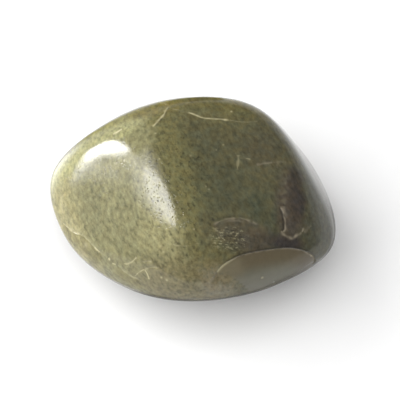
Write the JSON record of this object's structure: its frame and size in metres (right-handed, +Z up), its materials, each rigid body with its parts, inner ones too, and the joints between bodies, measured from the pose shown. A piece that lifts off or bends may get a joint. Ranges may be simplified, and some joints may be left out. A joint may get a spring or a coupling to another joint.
{
  "type": "tumbled opal stone",
  "caption": "Tumbled pebble of opaque green common opal with soft worn flats, rounded ridges and fine healed cracks.",
  "frame": {"origin": "middle of the stone's footprint, on the surface that it lies on", "axes": "+X towards the darker blunt tip, along the stone's length; +Y towards the back; +Z up"},
  "size_m": [0.0366, 0.0294, 0.019],
  "materials": {
    "green_opal": "polished"
  },
  "bodies": {
    "root": {"opal_stone": "green_opal"}
  },
  "joints": []
}
